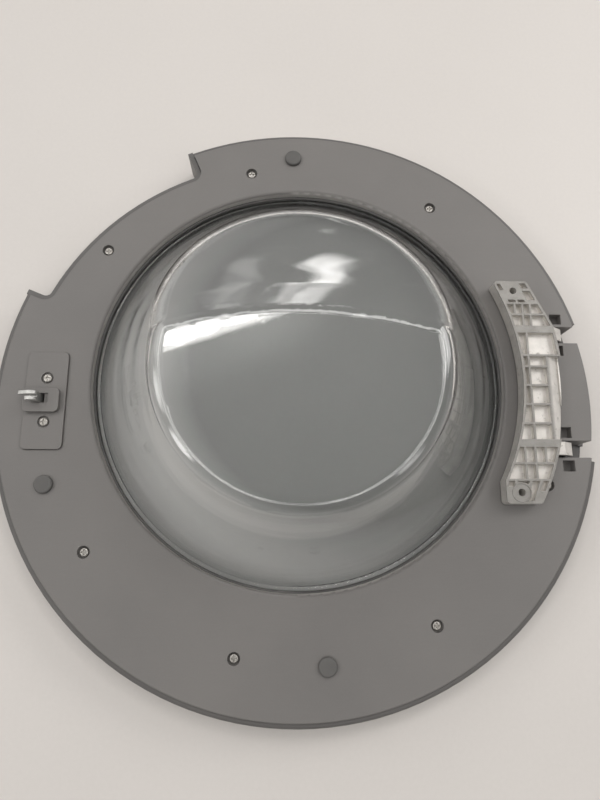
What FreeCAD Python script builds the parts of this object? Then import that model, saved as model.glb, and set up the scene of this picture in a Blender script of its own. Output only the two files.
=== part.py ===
import FreeCAD, Part
import math
import os
from types import SimpleNamespace

import Sketcher
from FreeCAD import Placement, Rotation, Vector

# Door of a front loading washing machine, lying on its front face with the drum side up.
# Millimetres. X runs to the hinge side, Y to the top of the door, Z up from the front face.
# The origin is the centre of the outer ring, on the front face.

DIMENSIONS = {
    # outer ring, as wide as this round the opening
    "ring_width": 75,
    "ring_depth": 32,
    "rim_wall": 4.2,
    "rim_drop": 2.5,
    "rim_round": 2.6,
    "front_round": 6,
    "front_skin": 3,
    "back_skin": 3,
    "ledge_width": 3,
    "ledge_height": 5,
    "frame_gap": 0.3,
    "edge_round": 1,
    # round opening, set above the centre of the ring
    "opening_radius": 165,
    "opening_offset": 17.5,
    "lip_wall": 3.2,
    "lip_depth": 6.5,
    "lip_round": 2.4,
    # finger notch in the rim
    "notch_start": 114,
    "notch_end": 157.5,
    "notch_depth": 23.4,
    "notch_center_x": -7.6,
    "notch_center_y": -3.7,
    "notch_corner": 5,
    # seats of the window, the glass and the gasket
    "seat_gap": 2,
    "seat_wall": 4,
    "window_thickness": 3.5,
    "window_bevel": 0.9,
    "window_overlap": 8,
    "flange_reach": 7,
    "flange_thickness": 5,
    "gasket_height": 2.5,
    "gasket_reach": 1.8,
    # glass bowl
    "bowl_rise": 64,
    "bowl_foot_gap": 2.5,
    "bowl_corner": 17,
    "bowl_slope": 36.8,
    "bowl_foot_round": 4,
    "glass_wall": 4.5,
    "scoop_start": 36,
    "scoop_slope": 22,
    "scoop_bow": 835,
    "ridge_round": 20,
    # screws that hold the two frames together
    "screw_inset": 39,
    "screw_circle_shift": 3.5,
    "screw_angle_a": 56.2,
    "screw_angle_b": 102,
    "screw_angle_c": 142.4,
    "screw_angle_d": 216.8,
    "screw_angle_e": 256.2,
    "screw_angle_f": 300.3,
    "side_screw_inset": 35,
    "side_screw_angle": -18.9,
    "screw_head_radius": 3.4,
    "screw_head_height": 2.2,
    "screw_shank_radius": 1.6,
    "screw_length": 13,
    "drive_width": 1,
    "drive_reach": 2.2,
    "drive_depth": 1.2,
    "screw_clearance": 0.3,
    "recess_radius": 4.7,
    "recess_depth": 3.6,
    "recess_wall": 2,
    "post_radius": 5,
    # rubber bumpers
    "bumper_radius": 7,
    "bumper_rise": 3,
    "bumper_stem_radius": 3.5,
    "bumper_barb": 1,
    "bumper_top_inset": 24.9,
    "bumper_top_angle": 91.6,
    "bumper_left_inset": 34.3,
    "bumper_left_angle": 199,
    "bumper_bottom_inset": 41.5,
    "bumper_bottom_angle": 275.8,
    # hinge bay, pins and knuckles
    "hinge_inset": 28,
    "hinge_drop": 5,
    "pin_radius": 2.5,
    "pin_chamfer": 0.6,
    "bush_wall": 1.15,
    "knuckle_radius": 5.4,
    "knuckle_width": 10.4,
    "knuckle_upper_y": 56.9,
    "knuckle_lower_y": -38,
    "slot_width": 13.6,
    "bay_depth": 13,
    "bay_wall": 2,
    "pocket_x": 9.6,
    "pocket_y": 8.6,
    "pocket_wall": 2.3,
    "pocket_below_pin": 0.5,
    "running_fit": 0.05,
    "end_play": 0.2,
    "cover_drop": 1,
    "cover_inset": 5.5,
    "cover_wall": 2.4,
    # ribbed hinge bracket, concentric with the opening
    "bracket_lift": 1.5,
    "bracket_height": 12,
    "rib_height": 4.8,
    "bracket_inside_gap": 10.6,
    "bracket_outside_gap": 4.3,
    "bracket_above_knuckle": 41.1,
    "bracket_below_knuckle": 43.5,
    "bracket_top_width": 28.2,
    "bracket_foot_height": 17.5,
    "bracket_corner": 3,
    "bracket_wall": 2,
    "rib_width": 1.6,
    "band_width": 6,
    "lower_band_rise": 2.6,
    "panel_share": 0.604,
    "panel_drop": 7,
    "panel_bend": 30,
    "panel_lip": 1.2,
    "panel_lip_height": 1.5,
    "shelf_height": 18,
    "column_share": 0.1745,
    "middle_first_pitch": 10,
    "middle_pitch": 15.25,
    "upper_pitch": 9.5,
    "lower_pitch": 12.6,
    "upper_rib_share": 0.1215,
    "upper_rib_pitch": 6.3,
    "lower_rib_share": 0.1464,
    "lower_rib_pitch": 8,
    "arm_thickness": 3,
    "arm_slant": 45,
    "bolt_upper_inset": 12.69,
    "bolt_lower_inset": 11.65,
    "bolt_end_inset": 8.4,
    "bolt_radius": 2.75,
    # latch plate and hook
    "latch_inset": 41,
    "latch_y": -1.6,
    "latch_width": 31.5,
    "latch_length": 77.5,
    "latch_corner": 4,
    "latch_seat": 1,
    "latch_rise": 1.6,
    "latch_recess_depth": 1.8,
    "latch_block_length": 19,
    "latch_block_shift": 1.35,
    "latch_block_inset": 3.8,
    "latch_block_rise": 5.6,
    "latch_screw_spacing": 34.8,
    "latch_screw_shift": 0.5,
    "latch_screw_length": 8,
    "latch_fit": 0.2,
    "hook_offset": 5,
    "hook_shift": 0.7,
    "hook_thickness": 7.2,
    "hook_fork": 1.8,
    "hook_step": 5.8,
    "hook_width": 6,
    "hook_rise": 16,
    "hook_reach": 7.8,
    "hook_nose": 4,
    "hook_blunt": 1.8,
    "hook_slot_room": 3,
    "hook_slot_depth": 1.6,
    "hook_hub_radius": 5,
    "hook_drop": 10,
    "hook_swing": 8,
    "hook_pin_radius": 2,
    "ear_wall": 2.5,
    "spring_room": 6,
    "spring_radius": 3.6,
    "spring_wire": 0.5,
    "spring_turns": 3.5,
}

doc = FreeCAD.newDocument("washing_machine_door")
sheet = doc.addObject("Spreadsheet::Sheet", "Sizes")
for row, (alias, number) in enumerate(DIMENSIONS.items(), start=1):
    sheet.set("A%d" % row, alias)
    sheet.set("B%d" % row, str(number))
    sheet.setAlias("B%d" % row, alias)
doc.recompute()


class Size:
    """A number together with the cell formula that it comes from."""

    def __init__(self, value, formula):
        self.value = value
        self.formula = formula

    def __add__(self, other):
        other = as_size(other)
        return Size(self.value + other.value, "(%s + %s)" % (self.formula, other.formula))

    def __sub__(self, other):
        other = as_size(other)
        return Size(self.value - other.value, "(%s - %s)" % (self.formula, other.formula))

    def __mul__(self, other):
        other = as_size(other)
        return Size(self.value * other.value, "(%s * %s)" % (self.formula, other.formula))

    def __truediv__(self, other):
        other = as_size(other)
        return Size(self.value / other.value, "(%s / %s)" % (self.formula, other.formula))

    def __neg__(self):
        return Size(-self.value, "(0 - %s)" % self.formula)

    def __radd__(self, other):
        return as_size(other) + self

    def __rsub__(self, other):
        return as_size(other) - self

    def __rmul__(self, other):
        return as_size(other) * self


def as_size(value):
    if isinstance(value, Size):
        return value
    return Size(float(value), repr(float(value)))


def root(square):
    return Size(math.sqrt(square.value), "sqrt(%s)" % square.formula)


def cosine(angle):
    return Size(math.cos(math.radians(angle.value)), "cos(%s)" % angle.formula)


def sine(angle):
    return Size(math.sin(math.radians(angle.value)), "sin(%s)" % angle.formula)


d = SimpleNamespace(**{alias: Size(float(sheet.get(alias)), "Sizes." + alias) for alias in DIMENSIONS})


# Levels and places that several pieces share
ring_radius = d.opening_radius + d.ring_width
notch_radius = ring_radius - d.notch_depth
hinge_x = ring_radius - d.hinge_inset
bay_back_x = hinge_x - d.bay_depth
latch_x = d.latch_inset - ring_radius
hook_x = latch_x - d.hook_offset
back_level = d.ring_depth
plate_level = d.ring_depth - d.back_skin
rim_level = d.ring_depth - d.rim_drop
frame_radius = ring_radius - d.rim_wall - d.frame_gap
gasket_level = d.ring_depth - d.lip_depth
flange_level = gasket_level - d.gasket_height
seat_level = flange_level - d.flange_thickness
seat_radius = d.opening_radius + d.seat_gap
flange_radius = d.opening_radius + d.flange_reach
recess_level = d.ring_depth - d.recess_depth
post_level = recess_level - d.recess_wall
hinge_level = d.ring_depth - d.hinge_drop
bush_radius = d.pin_radius + d.running_fit + d.bush_wall
bracket_level = d.ring_depth + d.bracket_lift
bracket_top = bracket_level + d.bracket_height
latch_level = d.ring_depth - d.latch_seat
latch_top = d.ring_depth + d.latch_rise
latch_seat_level = latch_top - d.latch_recess_depth
block_level = d.ring_depth + d.latch_block_rise
hook_y = d.latch_y + d.hook_shift
hook_level = d.ring_depth - d.hook_drop
screw_angles = [d.screw_angle_a, d.screw_angle_b, d.screw_angle_c, d.screw_angle_d, d.screw_angle_e,
                d.screw_angle_f]


def on_ring(inset, angle):
    """The place at an angle, this far in from the outside of the ring."""
    return ((ring_radius - inset) * cosine(angle), (ring_radius - inset) * sine(angle))


screw_spots = [on_ring(d.screw_inset, angle) for angle in screw_angles]
screw_spots = [(x, y + d.screw_circle_shift) for x, y in screw_spots]
screw_spots.append(on_ring(d.side_screw_inset, d.side_screw_angle))
bumper_spots = {
    "bumper_top": on_ring(d.bumper_top_inset, d.bumper_top_angle),
    "bumper_left": on_ring(d.bumper_left_inset, d.bumper_left_angle),
    "bumper_bottom": on_ring(d.bumper_bottom_inset, d.bumper_bottom_angle),
}
latch_screw_x = latch_x + d.latch_screw_shift
latch_screw_spots = [(latch_screw_x, d.latch_y + d.latch_screw_spacing / 2),
                     (latch_screw_x, d.latch_y - d.latch_screw_spacing / 2)]
knuckle_spots = {"upper": d.knuckle_upper_y, "lower": d.knuckle_lower_y}

# Outlines that cut right through reach this far beyond the piece
BEYOND = 20
# Long ribs of the bracket, counted in pitches from the middle one, and cross ribs of its middle section
LONG_RIB_STEPS = (-1, 0, 1)
MIDDLE_RIBS = 4
# Small pockets in the two solid ends of the bracket, as shares of the width and of the height
UPPER_END_POCKETS = ((0, 0.13, 0.66, 0.97), (0.78, 1, 0.74, 1), (0.74, 1, 0.12, 0.6),
                     (0.1, 0.34, 0, 0.13), (0.41, 0.64, 0, 0.13))
LOWER_END_POCKETS = ((0, 0.16, 0.72, 1), (0.24, 0.52, 0.86, 1), (0.6, 0.78, 0, 1), (0.86, 1, 0.5, 1))
# Flat sides round the spring's wire
WIRE_SIDES = 8


# Helpers for bodies, sketches and features
def new_body(label):
    body = doc.addObject("PartDesign::Body", label)
    body.Label = label
    return body


def bind(item, field, size):
    item.setExpression(field, as_size(size).formula)


def place(item, x=0, y=0, z=0, turn=None):
    item.Placement = Placement(Vector(0, 0, 0), turn or Rotation())
    bind(item, "Placement.Base.x", x)
    bind(item, "Placement.Base.y", y)
    bind(item, "Placement.Base.z", z)


def fix_point(sketch, edge, end, x, y):
    """Ties one end of a sketch edge to its two coordinates."""
    for kind, axis, size in (("DistanceX", -2, as_size(x)), ("DistanceY", -1, as_size(y))):
        if size.formula == "0.0":
            sketch.addConstraint(Sketcher.Constraint("PointOnObject", edge, end, axis))
            continue
        index = sketch.addConstraint(Sketcher.Constraint(kind, -1, 1, edge, end, size.value))
        sketch.setExpression("Constraints[%d]" % index, size.formula)


def fix_radius(sketch, edge, radius):
    index = sketch.addConstraint(Sketcher.Constraint("Radius", edge, radius.value))
    sketch.setExpression("Constraints[%d]" % index, radius.formula)


def short_arc(start, end, radius, left_turn):
    """The shorter arc from start to end, turning left or right."""
    chord = end - start
    rise = math.sqrt(max(radius * radius - chord.Length ** 2 / 4, 0))
    side = Vector(-chord.y, chord.x, 0).normalize()
    center = start + chord * 0.5 + side * (rise if left_turn else -rise)
    first, last = (start, end) if left_turn else (end, start)
    angles = [math.atan2(spot.y - center.y, spot.x - center.x) for spot in (first, last)]
    return Part.ArcOfCircle(Part.Circle(center, Vector(0, 0, 1), radius), angles[0], angles[1])


def draw_loop(sketch, corners):
    """Draws a closed outline. A corner is (x, y), or (x, y, radius, left_turn) after an arc."""
    spots = [Vector(as_size(c[0]).value, as_size(c[1]).value, 0) for c in corners]
    first = sketch.GeometryCount
    ends = []
    for index, corner in enumerate(corners):
        start, end = spots[index - 1], spots[index]
        if len(corner) == 2:
            sketch.addGeometry(Part.LineSegment(start, end), False)
            ends.append((1, 2))
        else:
            sketch.addGeometry(short_arc(start, end, corner[2].value, corner[3]), False)
            ends.append((1, 2) if corner[3] else (2, 1))
    for index, corner in enumerate(corners):
        following = (index + 1) % len(corners)
        edge = first + index
        sketch.addConstraint(Sketcher.Constraint("Coincident", edge, ends[index][1],
                                                 first + following, ends[following][0]))
        fix_point(sketch, edge, ends[index][1], corner[0], corner[1])
        if len(corner) == 4:
            fix_radius(sketch, edge, corner[2])


def draw_circle(sketch, x, y, radius):
    x, y, radius = as_size(x), as_size(y), as_size(radius)
    circle = Part.Circle(Vector(x.value, y.value, 0), Vector(0, 0, 1), radius.value)
    edge = sketch.addGeometry(circle, False)
    fix_point(sketch, edge, 3, x, y)
    fix_radius(sketch, edge, radius)


def new_sketch(body, role, loops=(), circles=(), lift=0):
    """A sketch on one of the body's own planes, lifted along the plane's normal."""
    sketch = body.newObject("Sketcher::SketchObject", body.Label + "_sketch")
    plane = next(item for item in body.Origin.OriginFeatures if item.Role == role)
    sketch.AttachmentSupport = [(plane, "")]
    sketch.MapMode = "FlatFace"
    bind(sketch, "AttachmentOffset.Base.z", lift)
    for loop in loops:
        draw_loop(sketch, loop)
    for circle in circles:
        draw_circle(sketch, *circle)
    return sketch


def pad(body, bottom, top, loops=(), circles=()):
    """Adds material between two levels."""
    sketch = new_sketch(body, "XY_Plane", loops, circles, bottom)
    feature = body.newObject("PartDesign::Pad", body.Label + "_pad")
    feature.Profile = sketch
    bind(feature, "Length", as_size(top) - bottom)
    return feature


def pocket(body, bottom, top, loops=(), circles=()):
    """Cuts material away between two levels."""
    sketch = new_sketch(body, "XY_Plane", loops, circles, top)
    return cut_with(body, sketch, as_size(top) - bottom)


def cut_with(body, sketch, depth):
    doc.recompute()
    before = body.Shape.Volume
    feature = body.newObject("PartDesign::Pocket", body.Label + "_pocket")
    feature.Profile = sketch
    bind(feature, "Length", depth)
    doc.recompute()
    if not body.Shape.Volume < before:
        raise RuntimeError("a pocket in %s cuts nothing" % body.Label)
    return feature


def pad_along_y(body, start, end, loops=(), circles=()):
    """Adds a profile drawn in X and Z, from one Y to another."""
    sketch = new_sketch(body, "XZ_Plane", loops, circles, -as_size(end))
    feature = body.newObject("PartDesign::Pad", body.Label + "_pad")
    feature.Profile = sketch
    bind(feature, "Length", as_size(end) - start)
    return feature


def pocket_along_y(body, start, end, loops=(), circles=()):
    """Cuts a profile drawn in X and Z, from one Y to another."""
    sketch = new_sketch(body, "XZ_Plane", loops, circles, -as_size(start))
    return cut_with(body, sketch, as_size(end) - start)


def revolve(body, corners):
    """Turns a profile drawn in X and Z about the body's own Z axis."""
    sketch = new_sketch(body, "XZ_Plane", [corners])
    feature = body.newObject("PartDesign::Revolution", body.Label + "_turn")
    feature.Profile = sketch
    feature.ReferenceAxis = (sketch, ["V_Axis"])
    feature.Angle = 360
    return feature


def round_edges(body, radius, wanted):
    """Rounds the edges that the test function picks."""
    doc.recompute()
    names = ["Edge%d" % (index + 1) for index, edge in enumerate(body.Shape.Edges) if wanted(edge)]
    if not names:
        raise RuntimeError("no edge to round in " + body.Label)
    base = body.Tip
    feature = body.newObject("PartDesign::Fillet", body.Label + "_round")
    feature.Base = (base, names)
    bind(feature, "Radius", radius)
    doc.recompute()
    if not feature.isValid():
        raise RuntimeError("a rounding in %s failed" % body.Label)
    return feature


def rectangle(left, right, bottom, top):
    return [(left, bottom), (right, bottom), (right, top), (left, top)]


def rounded_rectangle(left, right, bottom, top, radius):
    return [
        (right - radius, bottom), (right, bottom + radius, radius, True),
        (right, top - radius), (right - radius, top, radius, True),
        (left + radius, top), (left, top - radius, radius, True),
        (left, bottom + radius), (left + radius, bottom, radius, True),
    ]


def is_level(edge, level):
    return all(abs(vertex.Z - as_size(level).value) < 0.01 for vertex in edge.Vertexes)


def reach(edge, center_y=0):
    """Distance of an edge's middle from an upright axis."""
    middle = edge.valueAt((edge.FirstParameter + edge.LastParameter) / 2)
    return math.hypot(middle.x, middle.y - as_size(center_y).value)


def notch_outline(inset):
    """Sector of the rim that the finger notch takes, grown by inset, with rounded inner corners."""
    outside = ring_radius + BEYOND
    spread = inset / ring_radius * (180 / math.pi)
    floor = notch_radius - inset
    corner = d.notch_corner + inset
    center_x, center_y = d.notch_center_x, d.notch_center_y
    ends = []
    for angle, side in ((d.notch_start - spread, 1), (d.notch_end + spread, -1)):
        out_x, out_y = cosine(angle), sine(angle)
        in_x, in_y = -out_y * side, out_x * side
        rise = corner - (center_x * in_x + center_y * in_y)
        along = center_x * out_x + center_y * out_y + root((floor + corner) * (floor + corner) - rise * rise)
        share = floor / (floor + corner)
        on_floor = (center_x + (out_x * along + in_x * corner - center_x) * share,
                    center_y + (out_y * along + in_y * corner - center_y) * share)
        ends.append(((out_x * outside, out_y * outside), (out_x * along, out_y * along), on_floor))
    (far_a, wall_a, floor_a), (far_b, wall_b, floor_b) = ends
    return [far_a, far_b + (outside, True), wall_b, floor_b + (corner, True),
            floor_a + (floor, False), wall_a + (corner, True)]


# The bay that holds the hinge has a slot for each knuckle, with a cover between the slots
bay_top = d.knuckle_upper_y + d.slot_width / 2
bay_bottom = d.knuckle_lower_y - d.slot_width / 2
cover_top = d.knuckle_upper_y - d.slot_width / 2
cover_bottom = d.knuckle_lower_y + d.slot_width / 2
pocket_floor = hinge_level - d.pin_radius - d.pocket_below_pin


def bay_outline(low, high):
    """Level walls, which turn to run straight out from the ring's centre where they meet the rim."""
    mouth = frame_radius - d.edge_round * 2
    low_x, high_x = root(mouth * mouth - low * low), root(mouth * mouth - high * high)
    beyond = (ring_radius + BEYOND) / mouth
    return [(bay_back_x, low), (low_x, low), (low_x * beyond, low * beyond),
            (high_x * beyond, high * beyond), (high_x, high), (bay_back_x, high)]


def in_order(one, other):
    return (one, other) if one.value < other.value else (other, one)


def pin_pocket_outline(near, side, spread):
    """Square pocket over the end of a hinge pin, on the given side of a slot wall."""
    start = near + d.pocket_wall * side
    low, high = in_order(start, start + d.pocket_y * side)
    half = d.pocket_x / 2 + spread
    return rectangle(hinge_x - half, hinge_x + half, low - spread, high + spread)


def add_pin_pockets(body, slot_walls, level):
    """Walled pockets beside the slots, each with the bore by which a pin's end comes in."""
    for near, side in slot_walls:
        pad(body, pocket_floor - d.pocket_wall, level, [pin_pocket_outline(near, side, d.pocket_wall)])
    for near, side in slot_walls:
        pocket(body, pocket_floor, level, [pin_pocket_outline(near, side, as_size(0))])
        low, high = in_order(near - d.end_play * side, near + (d.pocket_wall + d.end_play) * side)
        pocket_along_y(body, low, high, circles=[(hinge_x, hinge_level, d.pin_radius)])


# Front frame: the ring that shows when the door is shut, with the posts for the screws
def make_outer_frame():
    body = new_body("outer_frame")
    inside = ring_radius - d.rim_wall
    ledge_inside = inside - d.ledge_width
    revolve(body, [
        (ledge_inside, 0),
        (ring_radius - d.front_round, 0),
        (ring_radius, d.front_round, d.front_round, True),
        (ring_radius, rim_level - d.rim_round),
        (ring_radius - d.rim_round, rim_level, d.rim_round, True),
        (inside, rim_level),
        (inside, plate_level),
        (ledge_inside, plate_level),
        (inside, plate_level - d.ledge_height),
        (inside, d.front_skin),
        (ledge_inside, d.front_skin),
    ])
    window_hole = seat_radius - d.window_overlap
    pad(body, 0, d.front_skin, circles=[(0, 0, inside), (0, d.opening_offset, window_hole)])
    pad(body, 0, seat_level, circles=[(0, d.opening_offset, seat_radius + d.seat_wall),
                                      (0, d.opening_offset, seat_radius)])
    pad(body, 0, post_level, circles=[spot + (d.post_radius,) for spot in screw_spots])
    pad(body, 0, rim_level, [notch_outline(d.rim_wall)])
    pocket(body, 0, rim_level, circles=[(0, 0, ring_radius + BEYOND * 2), (0, 0, ring_radius)])
    pocket(body, 0, rim_level, [notch_outline(as_size(0))])
    low, high = bay_bottom - d.bay_wall, bay_top + d.bay_wall
    pocket(body, d.front_round, rim_level, [bay_outline(low, high)])
    pocket(body, d.front_skin, d.front_round, [bay_outline(low, cover_bottom), bay_outline(cover_top, high)])
    pocket(body, recess_level - d.screw_length, post_level,
           circles=[spot + (d.screw_shank_radius,) for spot in screw_spots])
    return body


# Back frame: the grey ring on the drum side
def make_inner_frame():
    body = new_body("inner_frame")
    lip_radius = d.opening_radius + d.lip_wall
    pad(body, plate_level, back_level,
        circles=[(0, 0, frame_radius), (0, d.opening_offset, d.opening_radius)])
    round_edges(body, d.edge_round, lambda edge: is_level(edge, back_level) and
                abs(reach(edge) - frame_radius.value) < 0.1)
    pad(body, gasket_level, plate_level,
        circles=[(0, d.opening_offset, lip_radius), (0, d.opening_offset, d.opening_radius)])
    pad(body, post_level, plate_level,
        circles=[spot + (d.recess_radius + d.recess_wall,) for spot in screw_spots])
    pad(body, d.front_skin, plate_level,
        [rectangle(bay_back_x - d.bay_wall, frame_radius, bay_bottom - d.bay_wall, bay_top + d.bay_wall)])
    pocket(body, 0, plate_level, circles=[(0, 0, ring_radius + BEYOND), (0, 0, frame_radius)])
    pocket(body, 0, back_level, [notch_outline(d.rim_wall + d.frame_gap)])
    pocket(body, 0, back_level, [bay_outline(bay_bottom, bay_top)])
    add_pin_pockets(body, [(bay_top, 1), (bay_bottom, -1)], back_level)
    pocket(body, recess_level, back_level, circles=[spot + (d.recess_radius,) for spot in screw_spots])
    hole = d.screw_shank_radius + d.screw_clearance
    pocket(body, post_level, recess_level, circles=[spot + (hole,) for spot in screw_spots])
    pocket(body, plate_level, back_level,
           circles=[spot + (d.bumper_stem_radius,) for spot in bumper_spots.values()])
    pocket(body, latch_level, back_level, [latch_outline(d.latch_fit)])
    pocket(body, plate_level, back_level, [latch_aperture()],
           [spot + (d.screw_shank_radius,) for spot in latch_screw_spots])
    round_edges(body, d.lip_round, lambda edge: is_level(edge, back_level) and
                abs(reach(edge, d.opening_offset) - d.opening_radius.value) < 0.1)
    return body


# Smoked window behind the front ring
def make_front_window():
    body = new_body("front_window")
    radius = seat_radius - d.frame_gap
    top = d.front_skin + d.window_thickness
    revolve(body, [(0, d.front_skin), (radius, d.front_skin), (radius, top - d.window_bevel),
                   (radius - d.window_bevel, top), (0, top)])
    place(body, y=d.opening_offset)
    return body


# Black rubber ring between the glass and the lip of the back frame
def make_glass_gasket():
    body = new_body("glass_gasket")
    inner = d.opening_radius - d.gasket_reach
    soft = d.gasket_height / 2
    revolve(body, [(inner, flange_level), (flange_radius, flange_level), (flange_radius, gasket_level),
                   (inner + soft, gasket_level), (inner, gasket_level - soft, soft, True)])
    place(body, y=d.opening_offset)
    return body


# Glass bowl: a turned outside and a turned hollow, each cut by the same slanted scoop.
# Its wall starts just inside the gasket, so the flat end's radius follows from the rise and the slope.
bowl_foot_radius = d.opening_radius - d.gasket_reach - d.bowl_foot_gap
bowl_wall_rise = back_level + d.bowl_rise - d.bowl_corner + d.bowl_corner * sine(d.bowl_slope) - flange_level
bowl_flat_radius = (bowl_foot_radius - d.bowl_corner * cosine(d.bowl_slope)
                    - bowl_wall_rise * sine(d.bowl_slope) / cosine(d.bowl_slope))


def make_bowl_form(label, wall):
    """The bowl's outside where wall is nought, or its hollow where it is the glass thickness."""
    body = new_body(label)
    is_outside = wall.value == 0
    top = back_level + d.bowl_rise - wall
    corner = d.bowl_corner - wall
    steep, run = sine(d.bowl_slope), cosine(d.bowl_slope)
    wall_top_x = bowl_flat_radius + corner * run
    wall_top_z = top - corner + corner * steep
    foot_level = flange_level if is_outside else seat_level
    foot_x = wall_top_x + (wall_top_z - foot_level) * steep / run
    corners = [(0, seat_level), (foot_x, foot_level), (wall_top_x, wall_top_z),
               (bowl_flat_radius, top, corner, True), (0, top)]
    if is_outside:
        corners[1:1] = [(flange_radius, seat_level), (flange_radius, flange_level)]
    revolve(body, corners)
    if is_outside:
        round_edges(body, d.bowl_foot_round, lambda edge: is_level(edge, flange_level) and
                    abs(reach(edge) - foot_x.value) < 0.1)
    cut_scoop(body, wall)
    round_edges(body, d.ridge_round - wall, lambda edge: is_scoop_edge(body, edge))
    return body


def cut_scoop(body, wall):
    """Takes the top away along a slanted, slightly bowed face, lower by the glass for the hollow."""
    fall, run = sine(d.scoop_slope), cosine(d.scoop_slope)
    crown = back_level + d.bowl_rise + d.scoop_start * fall / run - wall / run
    half = flange_radius + BEYOND
    sag = d.scoop_bow - root(d.scoop_bow * d.scoop_bow - half * half)
    high = crown + flange_radius * 2
    outline = [(half, high), (-half, high), (-half, crown - sag), (half, crown - sag, d.scoop_bow, False)]
    sketch = new_sketch(body, "XZ_Plane", [outline])
    feature = body.newObject("PartDesign::Pocket", body.Label + "_scoop")
    feature.Profile = sketch
    feature.UseCustomVector = True
    feature.AlongSketchNormal = False
    bind(feature, "Direction.x", 0)
    bind(feature, "Direction.y", run)
    bind(feature, "Direction.z", -fall)
    bind(feature, "Length", flange_radius * 2)


def is_scoop_edge(body, edge):
    """True on the edges round the scooped face."""
    scoop = next(face for face in body.Shape.Faces if face.Surface.TypeId == "Part::GeomSurfaceOfExtrusion")
    return any(edge.isSame(other) for other in scoop.Edges)


def make_glass_bowl():
    glass = doc.addObject("Part::Cut", "glass_bowl")
    glass.Label = "glass_bowl"
    glass.Base = make_bowl_form("bowl_outside", as_size(0))
    glass.Tool = make_bowl_form("bowl_hollow", d.glass_wall)
    place(glass, y=d.opening_offset)
    return glass


# Cover between the two knuckles, with the pockets for the pins' inner ends
def make_hinge_cover():
    body = new_body("hinge_cover")
    level = back_level - d.cover_drop

    def outline(inset):
        radius = ring_radius - d.cover_inset - inset
        low, high = cover_bottom + inset, cover_top - inset
        return [(bay_back_x + inset, high), (bay_back_x + inset, low),
                (root(radius * radius - low * low), low),
                (root(radius * radius - high * high), high, radius, True)]

    pad(body, d.front_skin, level, [outline(as_size(0))])
    pocket(body, d.front_skin, level - d.cover_wall, [outline(d.cover_wall)])
    add_pin_pockets(body, [(cover_top, -1), (cover_bottom, 1)], level)
    return body


# Pins, bushes and the cast bracket of the hinge
def make_pin(label, radius, start, end, x, z):
    """Round pin along Y with chamfered ends."""
    body = new_body(label)
    length = end - start
    chamfer = d.pin_chamfer
    revolve(body, [(0, 0), (radius - chamfer, 0), (radius, chamfer), (radius, length - chamfer),
                   (radius - chamfer, length), (0, length)])
    place(body, x, start, z, Rotation(Vector(1, 0, 0), -90))
    return body


def make_hinge_pin(name, slot_low, slot_high):
    reach_out = d.pocket_wall - d.end_play
    return make_pin("hinge_pin_" + name, d.pin_radius, slot_low - reach_out, slot_high + reach_out,
                    hinge_x, hinge_level)


def make_hinge_bush(name, y):
    body = new_body("hinge_bush_" + name)
    half = d.knuckle_width / 2
    inner = d.pin_radius + d.running_fit
    pad_along_y(body, y - half, y + half, circles=[(hinge_x, hinge_level, bush_radius),
                                                   (hinge_x, hinge_level, inner)])
    return body


def on_circle(radius, y):
    """X of the circle about the opening's centre, at the height y."""
    offset = as_size(y) - d.opening_offset
    return root(radius * radius - offset * offset)


bracket_inner_radius = d.opening_radius + d.bracket_inside_gap
bracket_outer_radius = hinge_x - d.bracket_outside_gap
bracket_width = bracket_outer_radius - bracket_inner_radius
bracket_top_y = d.knuckle_upper_y + d.bracket_above_knuckle
bracket_bottom_y = d.knuckle_lower_y - d.bracket_below_knuckle
bracket_foot_y = bracket_bottom_y + d.bracket_foot_height
panel_x = bracket_inner_radius + bracket_width * d.panel_share
upper_band = (d.knuckle_upper_y - d.band_width / 2, d.knuckle_upper_y + d.band_width / 2)
lower_band_y = d.knuckle_lower_y + d.lower_band_rise
lower_band = (lower_band_y - d.band_width / 2, lower_band_y + d.band_width / 2)
bracket_inside = bracket_inner_radius + d.bracket_wall
bracket_outside = bracket_outer_radius - d.bracket_wall
bracket_shoulder = (on_circle(bracket_outer_radius, upper_band[1]), upper_band[1])
bracket_tip = (on_circle(bracket_inner_radius, bracket_top_y) + d.bracket_top_width, bracket_top_y)
foot_x = on_circle(bracket_inner_radius, bracket_foot_y)


def upper_left(y):
    return on_circle(bracket_inside, y)


def upper_right(y):
    share = (as_size(y) - bracket_shoulder[1]) / (bracket_tip[1] - bracket_shoulder[1])
    return bracket_shoulder[0] + (bracket_tip[0] - bracket_shoulder[0]) * share - d.bracket_wall


def lower_left(y):
    low = as_size(y)
    return foot_x + d.bracket_wall if low.value < bracket_foot_y.value else on_circle(bracket_inside, low)


def lower_right(y):
    return on_circle(bracket_outside, y)


def middle_right(y):
    return panel_x


def ribbed_row(left, right, places, low, high):
    """Pockets of one row, between the two walls and the long ribs that stand clear of them."""
    rib = d.rib_width
    first = max(left(low).value, left(high).value) + rib.value
    last = min(right(low).value, right(high).value) - rib.value
    clear = [x for x in places if first < x.value < last]
    starts = [(left(low), left(high))] + [(x + rib / 2, x + rib / 2) for x in clear]
    stops = [(x - rib / 2, x - rib / 2) for x in clear] + [(right(low), right(high))]
    return [[(start[0], low), (stop[0], low), (stop[1], high), (start[1], high)]
            for start, stop in zip(starts, stops)]


def end_pockets(left, right, low, high, shares):
    """Small pockets in a solid end of the bracket."""
    outlines = []
    for start, stop, foot, head in shares:
        bottom, top = low + (high - low) * foot, low + (high - low) * head
        outlines.append([(left(y) + (right(y) - left(y)) * share, y)
                         for share, y in ((start, bottom), (stop, bottom), (stop, top), (start, top))])
    return outlines


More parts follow.
